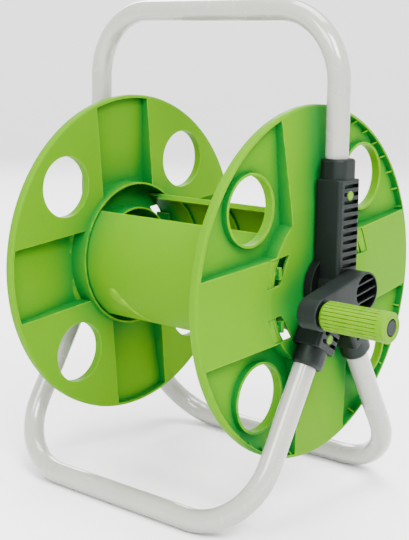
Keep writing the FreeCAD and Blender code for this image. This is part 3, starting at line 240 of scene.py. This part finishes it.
# In every material the colour for corners and gaps is painted shade, and the light colour of
# moulded plastic serves both its fine flecks and painted highlights on sharp edges.
MATERIALS = {
    "tube": painted("tube_paint", base=(0.285, 0.282, 0.250), dark=(0.258, 0.255, 0.226),
                    shade_colour=(0.10, 0.10, 0.080), roughness=0.22),
    "frame_plastic": moulded("frame_plastic", base=(0.0070, 0.0088, 0.0088),
                             dark=(0.0056, 0.0072, 0.0072), light=(0.020, 0.024, 0.024),
                             shade_colour=(0.0012, 0.0018, 0.0016), roughness=0.44, grain=0.6,
                             tint=DARK_SHEEN, sheen=0.17),
    "drum_plastic": moulded("drum_plastic", base=(0.071, 0.196, 0.0001),
                            dark=(0.061, 0.180, 0.0001), light=(0.140, 0.300, 0.0030),
                            shade_colour=(0.0008, 0.118, 0.014), roughness=0.44, grain=0.3,
                            tint=GREEN_SHEEN, sheen=0.04, glow=0.15),
    "grip_plastic": moulded("grip_plastic", base=(0.080, 0.195, 0.0006),
                            dark=(0.072, 0.183, 0.0005), light=(0.160, 0.290, 0.0050),
                            shade_colour=(0.022, 0.110, 0.0008), roughness=0.44, grain=0.5,
                            tint=GREEN_SHEEN, sheen=0.10, glow=0.10),
    "cap_plastic": moulded("cap_plastic", base=(0.088, 0.205, 0.0006),
                           dark=(0.078, 0.192, 0.0005), light=(0.160, 0.290, 0.0050),
                           shade_colour=(0.022, 0.110, 0.0008), roughness=0.42, grain=0.4,
                           tint=GREEN_SHEEN, sheen=0.20, glow=0.10),
    "bearing_plastic": moulded("bearing_plastic", base=(0.40, 0.39, 0.35),
                               dark=(0.36, 0.35, 0.32), light=(0.50, 0.49, 0.45),
                               shade_colour=(0.16, 0.155, 0.14), roughness=0.34, grain=0.3,
                               tint=PLAIN_SHEEN, sheen=0.45),
    "steel": metal("zinc_steel", base=(0.40, 0.40, 0.41), roughness=0.34),
    "rubber": moulded("black_rubber", base=(0.008, 0.008, 0.008), dark=(0.006, 0.006, 0.006),
                      light=(0.024, 0.024, 0.024), shade_colour=(0.002, 0.002, 0.002), roughness=0.55,
                      grain=0.8, tint=DARK_SHEEN, sheen=0.30),
}


def finish_cad_nodes():
    """Gives each CAD node its slot's material and smooth shading on its round surfaces."""
    slots = {row["node"]: row["material_slot"] for row in frame["record"]["subparts"]}
    for name, item in frame["nodes"].items():
        mesh = item.data
        mesh.materials.clear()
        mesh.materials.append(MATERIALS[slots[name]])
        mesh.shade_smooth()
        mesh.set_sharp_from_angle(angle=SHARP_ANGLE)


finish_cad_nodes()


# ---- raised mark on the front drum panel -----------------------------------------------

def panel_mark():
    """A low raised drop on the front panel: a round head that runs out to a point."""
    axis = axis_height()
    shell = 0.0662
    # Along the drum's axis, and round the panel from the front as an arc at its surface.
    head = Vector((-0.0634, math.radians(-25.5) * shell))
    tail = Vector((-0.0335, math.radians(-56.1) * shell))
    along = (tail - head).normalized()
    side = Vector((-along.y, along.x))
    head_radius = 0.0064
    height = 0.0013
    root = 0.0003
    crown_slope = 1.6
    length = (tail - head).length
    rows, columns = 48, 16
    mesh = bmesh.new()

    def place(row, column, lift):
        """Point of the drop: row runs from the head's back to the tip, column across."""
        step = (1 - math.cos(math.pi * row / rows)) / 2
        reach = step * (length + head_radius) - head_radius
        if reach < 0:
            width = math.sqrt(max(head_radius ** 2 - reach ** 2, 0.0))
        else:
            width = head_radius * (1 - reach / length)
        share = 2 * column / columns - 1
        spot = head + along * reach + side * (width * share)
        crown = height * (1 - share ** 4) * min(1.0, width / head_radius * crown_slope)
        radius = shell + (crown if lift else 0.0) - root
        angle = spot.y / shell
        return Vector((spot.x, -radius * math.cos(angle),
                       axis + radius * math.sin(angle)))

    top, bottom = [], []
    for row in range(1, rows):
        top.append([mesh.verts.new(place(row, column, True)) for column in range(columns + 1)])
        under = [mesh.verts.new(place(row, column, False)) for column in range(1, columns)]
        bottom.append([top[-1][0]] + under + [top[-1][-1]])
    back = mesh.verts.new(place(0, columns // 2, False))
    tip = mesh.verts.new(place(rows, columns // 2, False))
    for layer, flip in ((top, False), (bottom, True)):
        for here, after in zip(layer, layer[1:]):
            for column in range(columns):
                corners = [here[column], after[column], after[column + 1], here[column + 1]]
                mesh.faces.new(reversed(corners) if flip else corners)
        for column in range(columns):
            start = [back, layer[0][column], layer[0][column + 1]]
            end = [tip, layer[-1][column + 1], layer[-1][column]]
            mesh.faces.new(reversed(start) if flip else start)
            mesh.faces.new(reversed(end) if flip else end)
    bmesh.ops.recalc_face_normals(mesh, faces=mesh.faces)
    data = bpy.data.meshes.new("panel_mark")
    mesh.to_mesh(data)
    mesh.free()
    data.shade_smooth()
    data.materials.append(MATERIALS["drum_plastic"])
    piece = bpy.data.objects.new("panel_mark", data)
    bpy.context.scene.collection.objects.link(piece)
    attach(piece, "drum")


panel_mark()


# ---- studio ----------------------------------------------------------------------------

LIGHT_TARGET = (0, 0, 0.2)
SKY_STRENGTH = 1.5


def studio_floor():
    """A pale round floor that curves up far away, so that every view has a plain ground."""
    flat = 3.2
    bend = 1.6
    height = 2.6
    steps = 14
    count = 96
    profile = [(0.6, 0.0), (1.6, 0.0), (flat, 0.0)]
    for index in range(1, steps + 1):
        angle = math.pi / 2 * index / steps
        profile.append((flat + bend * math.sin(angle), bend * (1 - math.cos(angle))))
    profile.append((flat + bend, height))
    mesh = bmesh.new()
    rings = []
    for radius, z in profile:
        ring = []
        for index in range(count):
            angle = 2 * math.pi * index / count
            ring.append(mesh.verts.new((radius * math.cos(angle), radius * math.sin(angle), z)))
        rings.append(ring)
    mesh.faces.new(rings[0])
    for inner, outer in zip(rings, rings[1:]):
        for index in range(count):
            after = (index + 1) % count
            mesh.faces.new((inner[index], outer[index], outer[after], inner[after]))
    data = bpy.data.meshes.new("studio_floor")
    mesh.to_mesh(data)
    mesh.free()
    data.shade_smooth()
    floor = bpy.data.objects.new("studio_floor", data)
    bpy.context.scene.collection.objects.link(floor)
    nodes = Nodes("studio_floor")
    haze = nodes.noise(scale=2.5, detail=2.0)
    haze_range = nodes.spread(haze, "Fac", low=0.0, high=1.0)
    colour = nodes.mix(haze_range, "Result", (0.95, 0.95, 0.95), (0.93, 0.93, 0.93))
    nodes.link(colour, MIX_RESULT, nodes.shader, "Base Color")
    nodes.shader.inputs["Roughness"].default_value = 0.9
    data.materials.append(nodes.material)


def area_light(name, place, size, power):
    """A rectangular lamp that looks at the middle of the reel."""
    light = bpy.data.lights.new(name, "AREA")
    light.shape = "RECTANGLE"
    light.size = size[0]
    light.size_y = size[1]
    light.energy = power
    item = bpy.data.objects.new(name, light)
    item.location = place
    direction = Vector(LIGHT_TARGET) - Vector(place)
    item.rotation_mode = "QUATERNION"
    item.rotation_quaternion = direction.to_track_quat("-Z", "Y")
    bpy.context.scene.collection.objects.link(item)


def sky():
    """Even white light from all round."""
    world = bpy.data.worlds.new("studio")
    world.use_nodes = True
    background = world.node_tree.nodes["Background"]
    background.inputs["Color"].default_value = (1.0, 1.0, 1.0, 1.0)
    background.inputs["Strength"].default_value = SKY_STRENGTH
    bpy.context.scene.world = world


studio_floor()
sky()
area_light("key", place=(1.9, -1.1, 2.1), size=(1.2, 1.2), power=170)
area_light("front", place=(0.4, -2.4, 1.9), size=(1.4, 1.0), power=75)
area_light("top", place=(0.0, 0.4, 2.6), size=(1.6, 1.6), power=110)
area_light("back", place=(-1.8, 1.6, 1.6), size=(1.0, 1.4), power=50)


# ---- camera ----------------------------------------------------------------------------

CAMERA_TURN = math.radians(40.665)
CAMERA_PITCH = math.radians(8.605)
CAMERA_ROLL = math.radians(0.867)
CAMERA_PLACE = (0.70843, -0.82991)
CAMERA_ABOVE_AXIS = 0.20095


def main_camera():
    """A long lens above the drum's axis, seen from the front on the crank's side."""
    back = Vector((math.sin(CAMERA_TURN) * math.cos(CAMERA_PITCH),
                   -math.cos(CAMERA_TURN) * math.cos(CAMERA_PITCH), math.sin(CAMERA_PITCH)))
    right = Vector((math.cos(CAMERA_TURN), math.sin(CAMERA_TURN), 0.0))
    up = back.cross(right)
    rolled_right = right * math.cos(CAMERA_ROLL) + up * math.sin(CAMERA_ROLL)
    rolled_up = up * math.cos(CAMERA_ROLL) - right * math.sin(CAMERA_ROLL)
    camera = bpy.data.cameras.new("camera")
    camera.sensor_width = 36.0
    camera.lens = 79.08
    camera.shift_y = -0.08
    camera.clip_start = 0.05
    camera.clip_end = 50.0
    item = bpy.data.objects.new("camera", camera)
    place = Vector((*CAMERA_PLACE, CAMERA_ABOVE_AXIS + axis_height()))
    turned = Matrix((rolled_right, rolled_up, back)).transposed().to_4x4()
    item.matrix_world = Matrix.Translation(place) @ turned
    bpy.context.scene.collection.objects.link(item)
    bpy.context.scene.camera = item


main_camera()
